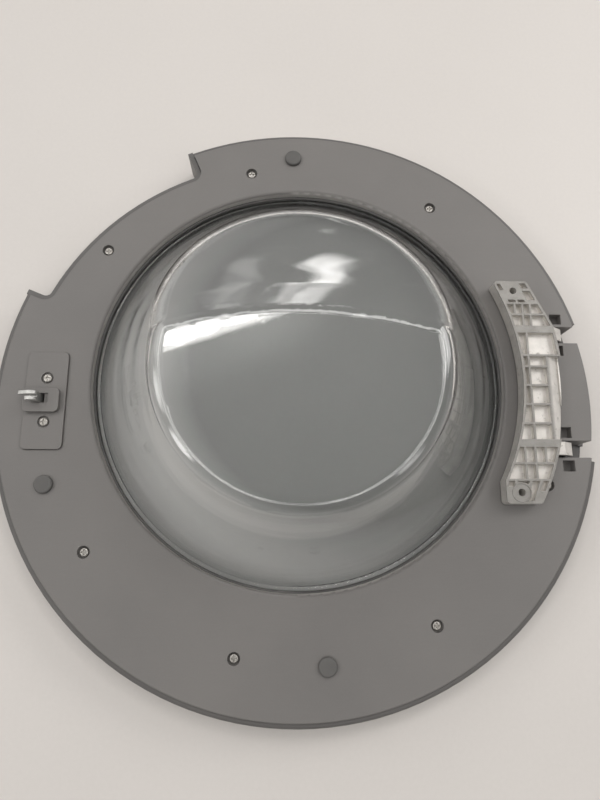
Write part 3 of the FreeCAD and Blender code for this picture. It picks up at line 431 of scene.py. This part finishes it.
def cast_bracket_metal():
    """Die cast metal: pale pocket floors, duller rib tops, specks of dirt and a pebbled skin."""
    dirt_gain, dirt_shift = 4.0, -2.35
    edge_show = 0.5
    plain_rough, smeared_rough = 0.56, 0.38
    material, tree, shader = new_finish("cast_aluminium")
    pale = use_group(tree, MOTTLE, Shade_A=CAST_PALE, Shade_B=CAST_PALE_SHADE, Patch_Scale=110.0,
                     Speck_Scale=1500.0)
    dull = use_group(tree, MOTTLE, Shade_A=CAST_TOP, Shade_B=CAST_TOP_SHADE, Patch_Scale=90.0,
                     Speck_Scale=1200.0)
    edge = use_group(tree, WORN_EDGE, Radius=0.0007, Breakup_Scale=260.0)
    marks = use_group(tree, HANDLING, Smear_Scale=130.0, Scratch_Scale=180.0)
    is_top = add_ramp(tree, split_place(tree)["Z"], RIB_SIDE_LEVEL, RIB_TOP_LEVEL)
    colour = add_mix(tree, is_top, pale.outputs["Color"], dull.outputs["Color"])
    dirt_noise = add_noise(tree, scale=230.0, detail=5.0, rough=0.7)
    dirt = add_math(tree, "MULTIPLY_ADD", dirt_noise, dirt_gain, dirt_shift, clamp=True)
    colour = add_mix(tree, dirt, colour, CAST_DIRT)
    edge_wear = add_math(tree, "MULTIPLY", edge.outputs["Mask"], edge_show)
    colour = add_mix(tree, edge_wear, colour, CAST_PALE)
    tree.links.new(colour, shader.inputs["Base Color"])
    shader.inputs["Metallic"].default_value = 0.55
    vary(tree, marks.outputs["Smears"], plain_rough, smeared_rough, shader.inputs["Roughness"])
    skin = add_noise(tree, scale=900.0, detail=4.0, rough=0.6)
    add_bump(tree, shader, skin, strength=0.35, depth=0.00025, normal=edge.outputs["Normal"])
    return material


def add_glass_waves(tree):
    """Height of the waves in the glass, from its scoop, its flat end and its wall."""
    place = split_place(tree)
    scoop = add_ramp(tree, place["Y"], SCOOP_START_Y, SCOOP_FULL_Y)
    not_scoop = add_math(tree, "SUBTRACT", 1.0, scoop)
    long_share = add_math(tree, "MULTIPLY_ADD", scoop, SCOOP_WAVES - FLAT_WAVES, FLAT_WAVES)
    long_noise = add_stretched_noise(tree, SCOOP_WAVE_SCALE, SCOOP_STRETCH)
    height = add_math(tree, "MULTIPLY", long_noise, long_share)
    wall = add_ramp(tree, place["Z"], WALL_TOP_LEVEL, WALL_FULL_LEVEL)
    ring_noise = add_stretched_noise(tree, WALL_WAVE_SCALE, WALL_STRETCH)
    rings = add_math(tree, "MULTIPLY", ring_noise, WALL_WAVES)
    on_wall = add_math(tree, "MULTIPLY", wall, not_scoop)
    height = add_math(tree, "MULTIPLY_ADD", rings, on_wall, height)
    ridge = add_ramp(tree, place["Y"], RIDGE_START_Y, RIDGE_FULL_Y)
    short_noise = add_noise(tree, RIDGE_WAVE_SCALE, detail=1.0, rough=0.4)
    short = add_math(tree, "MULTIPLY", short_noise, RIDGE_WAVES)
    near_ridge = add_math(tree, "MULTIPLY", ridge, not_scoop)
    return add_math(tree, "MULTIPLY_ADD", short, near_ridge, height)


def pressed_glass():
    """Clear pressed glass, a little wavy, with smears that show only in its gloss."""
    clean_rough, smeared_rough = 0.0, 0.03
    material, tree, shader = new_finish("clear_glass")
    marks = use_group(tree, HANDLING, Smear_Scale=18.0, Scratch_Scale=40.0)
    shader.inputs["Base Color"].default_value = GLASS_CLEAR + (1.0,)
    shader.inputs["Transmission Weight"].default_value = 1.0
    shader.inputs["IOR"].default_value = GLASS_INDEX
    shader.inputs["Coat Weight"].default_value = GLASS_COAT
    vary(tree, marks.outputs["Smears"], clean_rough, smeared_rough, shader.inputs["Roughness"])
    add_bump(tree, shader, add_glass_waves(tree), strength=1.0, depth=GLASS_WAVE_DEPTH)
    return material


def smoked_window():
    """Smoked window: an even grey with a soft gloss, and painted light that pales its upper face
    towards the border.
    """
    clean_rough, smeared_rough = 0.14, 0.24
    material, tree, shader = new_finish("smoked_window")
    mottle = use_group(tree, MOTTLE, Shade_A=WINDOW_SMOKE, Shade_B=WINDOW_SMOKE_DARK,
                       Patch_Scale=7.0, Speck_Scale=400.0)
    marks = use_group(tree, HANDLING, Smear_Scale=12.0, Scratch_Scale=30.0)
    # Painted light: the upper face is painted paler towards the border, where the glass bowl shades
    # it
    distance = add_distance(tree, BORDER_MIDDLE_X, BORDER_MIDDLE_Y)
    outward = add_ramp(tree, distance, BORDER_START, BORDER_END)
    upper = add_ramp(tree, split_place(tree)["Z"], WINDOW_MIDDLE_LEVEL, WINDOW_TOP_LEVEL)
    painted_border_light = add_math(tree, "MULTIPLY", outward, upper)
    colour = add_mix(tree, painted_border_light, mottle.outputs["Color"], WINDOW_BORDER_PAINTED_LIGHT)
    tree.links.new(colour, shader.inputs["Base Color"])
    shader.inputs["Transmission Weight"].default_value = 0.12
    vary(tree, marks.outputs["Smears"], clean_rough, smeared_rough, shader.inputs["Roughness"])
    return material


def dress_door():
    """Gives every solid of the door its finish."""
    grey = moulded_plastic("grey_plastic", RING_GREY, RING_GREY_DARK, rough=0.52,
                           edge_radius=0.0007, polish=0.10, lip_painted_light=LIP_PAINTED_LIGHT)
    rim = moulded_plastic("rim_plastic", RIM_GREY, RIM_GREY_DARK, rough=0.46,
                          edge_radius=0.0006, polish=0.08)
    bush = moulded_plastic("bush_plastic", BUSH_BLACK, BUSH_WORN, rough=0.40,
                           edge_radius=0.0002, polish=0.06)
    seal = soft_rubber("black_rubber", RUBBER_BLACK, RUBBER_BLACK_DUSTY, rough=0.42)
    bumper = soft_rubber("grey_rubber", BUMPER_GREY, BUMPER_GREY_DUSTY, rough=0.62)
    zinc = plated_steel("zinc_steel", ZINC_PALE, ZINC_DULL, rough=0.30, metal=0.85)
    dark = plated_steel("dark_steel", PIN_DARK, PIN_WORN, rough=0.38, metal=0.9)
    bright = plated_steel("bright_steel", HOOK_BRIGHT, HOOK_DULL, rough=0.38, metal=0.8)
    spring = plated_steel("spring_steel", SPRING_STEEL, SPRING_SHADE, rough=0.30, metal=0.95)
    finishes = {
        "outer_frame": rim,
        "inner_frame": grey,
        "front_window": smoked_window(),
        "glass_gasket": seal,
        "glass_bowl": pressed_glass(),
        "hinge_cover": grey,
        "hinge_bracket": cast_bracket_metal(),
        "hinge_pin_upper": dark,
        "hinge_pin_lower": dark,
        "hinge_bush_upper": bush,
        "hinge_bush_lower": bush,
        "latch_plate": grey,
        "latch_hook": bright,
        "hook_pin": dark,
        "hook_spring": spring,
        "frame_screws": zinc,
        "latch_screws": zinc,
        "bumper_top": bumper,
        "bumper_left": bumper,
        "bumper_bottom": bumper,
    }
    for node, finish in finishes.items():
        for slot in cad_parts[node].material_slots:
            slot.material = finish


def raise_boss_rim():
    """Rounded rim that stands on the bracket round its lower bolt hole."""
    low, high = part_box("hinge_bracket")
    middle = Vector((low[0] + BOLT_FROM_SIDE, low[1] + BOLT_FROM_END, high[2]))
    form = bmesh.new()
    rows = []
    for step in range(RIM_STEPS):
        turn = 2.0 * math.pi * step / RIM_STEPS
        row = []
        for corner in range(RIM_CORNERS):
            lean = 2.0 * math.pi * corner / RIM_CORNERS
            reach = BOSS_RADIUS + BOSS_RIM * math.cos(lean)
            rise = BOSS_RISE * math.sin(lean)
            offset = Vector((reach * math.cos(turn), reach * math.sin(turn), rise))
            row.append(form.verts.new(middle + offset))
        rows.append(row)
    for step, row in enumerate(rows):
        after = rows[(step + 1) % RIM_STEPS]
        for corner in range(RIM_CORNERS):
            beside = (corner + 1) % RIM_CORNERS
            face = form.faces.new((row[corner], after[corner], after[beside], row[beside]))
            face.smooth = True
    form.normal_update()
    mesh = bpy.data.meshes.new("boss_rim")
    form.to_mesh(mesh)
    form.free()
    rim = bpy.data.objects.new("boss_rim", mesh)
    bpy.context.scene.collection.objects.link(rim)
    rim.data.materials.append(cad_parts["hinge_bracket"].material_slots[0].material)
    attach(rim, "hinge")


# Table, room and camera
def table_top():
    material, tree, shader = new_finish("table_top")
    mottle = use_group(tree, MOTTLE, Shade_A=TABLE_CREAM, Shade_B=TABLE_CREAM_SHADE,
                       Patch_Scale=2.5, Speck_Scale=300.0)
    tree.links.new(mottle.outputs["Color"], shader.inputs["Base Color"])
    shader.inputs["Roughness"].default_value = 0.5
    return material


def lay_table():
    signs = ((-1, -1), (1, -1), (1, 1), (-1, 1))
    corners = [(TABLE_HALF * x, TABLE_HALF * y, TABLE_LEVEL) for x, y in signs]
    mesh = bpy.data.meshes.new("table")
    mesh.from_pydata(corners, [], [(0, 1, 2, 3)])
    table = bpy.data.objects.new("table", mesh)
    bpy.context.scene.collection.objects.link(table)
    table.data.materials.append(table_top())


def hang_lamp(name, place, width, height, power):
    """A soft lamp that faces the middle of the door."""
    lamp = bpy.data.lights.new(name, "AREA")
    lamp.shape = "RECTANGLE"
    lamp.size = width
    lamp.size_y = height
    lamp.energy = power
    lamp.color = ROOM_LIGHT
    item = bpy.data.objects.new(name, lamp)
    item.location = place
    item.rotation_euler = (-Vector(place)).to_track_quat("-Z", "Y").to_euler()
    bpy.context.scene.collection.objects.link(item)


def add_band(tree, value, low, high, soft):
    """One between two values of a socket, falling softly to nought outside them."""
    rise = add_ramp(tree, value, low - soft, low)
    fall = add_ramp(tree, value, high + soft, high)
    return add_math(tree, "MULTIPLY", rise, fall)


def add_room_lights(tree, vector, direction):
    """Lit cove round the ceiling, soft panes on the far side, and the glints."""
    not_near = add_ramp(tree, direction["Y"], COVE_NEAR_DARK, COVE_NEAR_LIT)
    cove_band = add_band(tree, direction["Z"], COVE_LOW, COVE_HIGH, COVE_SOFT)
    cove = add_math(tree, "MULTIPLY", cove_band, not_near)
    total = add_math(tree, "MULTIPLY", cove, COVE_LEVEL)
    pane_band = add_band(tree, direction["Z"], PANE_LOW, PANE_HIGH, PANE_SOFT)
    far = add_ramp(tree, direction["Y"], PANE_FAR_DARK, PANE_FAR_LIT)
    pane_zone = add_math(tree, "MULTIPLY", pane_band, far)
    pane_height = (PANE_LOW + PANE_HIGH) / 2
    for middle, half_width, lean, level in PANES:
        across = add_math(tree, "MULTIPLY_ADD", direction["Z"], lean, direction["X"])
        left = middle + lean * pane_height - half_width
        right = middle + lean * pane_height + half_width
        width_band = add_band(tree, across, left, right, half_width)
        pane = add_math(tree, "MULTIPLY", pane_zone, width_band)
        total = add_math(tree, "MULTIPLY_ADD", pane, level, total)
    for towards, level in GLINTS:
        dot = tree.nodes.new("ShaderNodeVectorMath")
        dot.operation = "DOT_PRODUCT"
        dot.inputs[1].default_value = Vector(towards).normalized()
        tree.links.new(vector, dot.inputs[0])
        glint = add_ramp(tree, dot.outputs["Value"], GLINT_EDGE, GLINT_FULL)
        total = add_math(tree, "MULTIPLY_ADD", glint, level, total)
    return total


def light_room():
    """A pale room, brightest near the horizon and to the far side, with its lights and lamps."""
    world = bpy.data.worlds.new("room")
    world.use_nodes = True
    tree = world.node_tree
    place = tree.nodes.new("ShaderNodeTexCoord")
    split = tree.nodes.new("ShaderNodeSeparateXYZ")
    tree.links.new(place.outputs["Generated"], split.inputs["Vector"])
    levels = tree.nodes.new("ShaderNodeValToRGB")
    stops = levels.color_ramp.elements
    for position, level in ROOM_LEVELS:
        stop = stops.new(position)
        stop.color = tuple(channel * level for channel in ROOM_LIGHT) + (1.0,)
    stops.remove(stops[0])
    stops.remove(stops[-1])
    tree.links.new(split.outputs["Z"], levels.inputs["Fac"])
    walls = tree.nodes["Background"]
    tree.links.new(levels.outputs["Color"], walls.inputs["Color"])
    far = add_math(tree, "MULTIPLY_ADD", split.outputs["Y"], ROOM_FAR_GAIN, 1.0)
    tree.links.new(far, walls.inputs["Strength"])
    lights = tree.nodes.new("ShaderNodeBackground")
    lights.inputs["Color"].default_value = ROOM_LIGHT + (1.0,)
    strength = add_room_lights(tree, place.outputs["Generated"], split.outputs)
    tree.links.new(strength, lights.inputs["Strength"])
    room = tree.nodes.new("ShaderNodeAddShader")
    tree.links.new(walls.outputs["Background"], room.inputs[0])
    tree.links.new(lights.outputs["Background"], room.inputs[1])
    backdrop = tree.nodes.new("ShaderNodeBackground")
    backdrop.inputs["Color"].default_value = BACKDROP_PALE + (1.0,)
    seen = tree.nodes.new("ShaderNodeLightPath")
    choice = tree.nodes.new("ShaderNodeMixShader")
    tree.links.new(seen.outputs["Is Camera Ray"], choice.inputs["Fac"])
    tree.links.new(room.outputs["Shader"], choice.inputs[1])
    tree.links.new(backdrop.outputs["Background"], choice.inputs[2])
    tree.links.new(choice.outputs["Shader"], tree.nodes["World Output"].inputs["Surface"])
    bpy.context.scene.world = world
    for lamp in LAMPS:
        hang_lamp(*lamp)


def set_camera():
    camera = bpy.data.cameras.new("camera")
    camera.lens = CAMERA_LENS
    camera.sensor_width = SENSOR_WIDTH
    item = bpy.data.objects.new("camera", camera)
    item.location = CAMERA_PLACE
    item.rotation_euler = CAMERA_TURN
    bpy.context.scene.collection.objects.link(item)
    bpy.context.scene.camera = item


dress_door()
raise_boss_rim()
lay_table()
light_room()
set_camera()
bpy.context.scene.view_settings.view_transform = "Standard"
